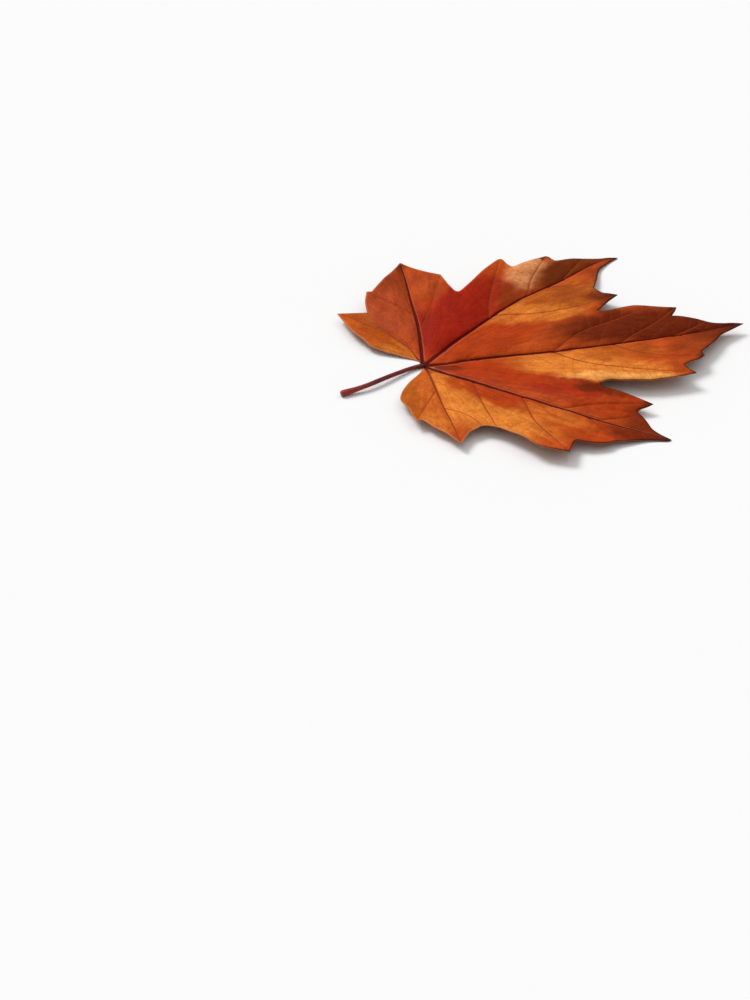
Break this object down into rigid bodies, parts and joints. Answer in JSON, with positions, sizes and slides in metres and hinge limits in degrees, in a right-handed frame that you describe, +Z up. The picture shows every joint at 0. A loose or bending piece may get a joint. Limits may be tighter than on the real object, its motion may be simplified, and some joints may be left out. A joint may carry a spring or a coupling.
{
  "type": "autumn leaf",
  "caption": "Fallen maple leaf in autumn colour: a toothed, lobed blade folded along its veins, with a slender stalk, lying face up.",
  "frame": {"origin": "underside of the blade where the stalk and the main veins meet, on the surface that the leaf lies on", "axes": "+X towards the tip of the middle lobe, +Y towards the upper lobes, +Z up from the surface"},
  "size_m": [0.1358, 0.1254, 0.0072],
  "materials": {
    "leaf": "satin leaf skin, orange to dark red"
  },
  "bodies": {
    "root": {"maple_leaf": "leaf"}
  },
  "joints": []
}
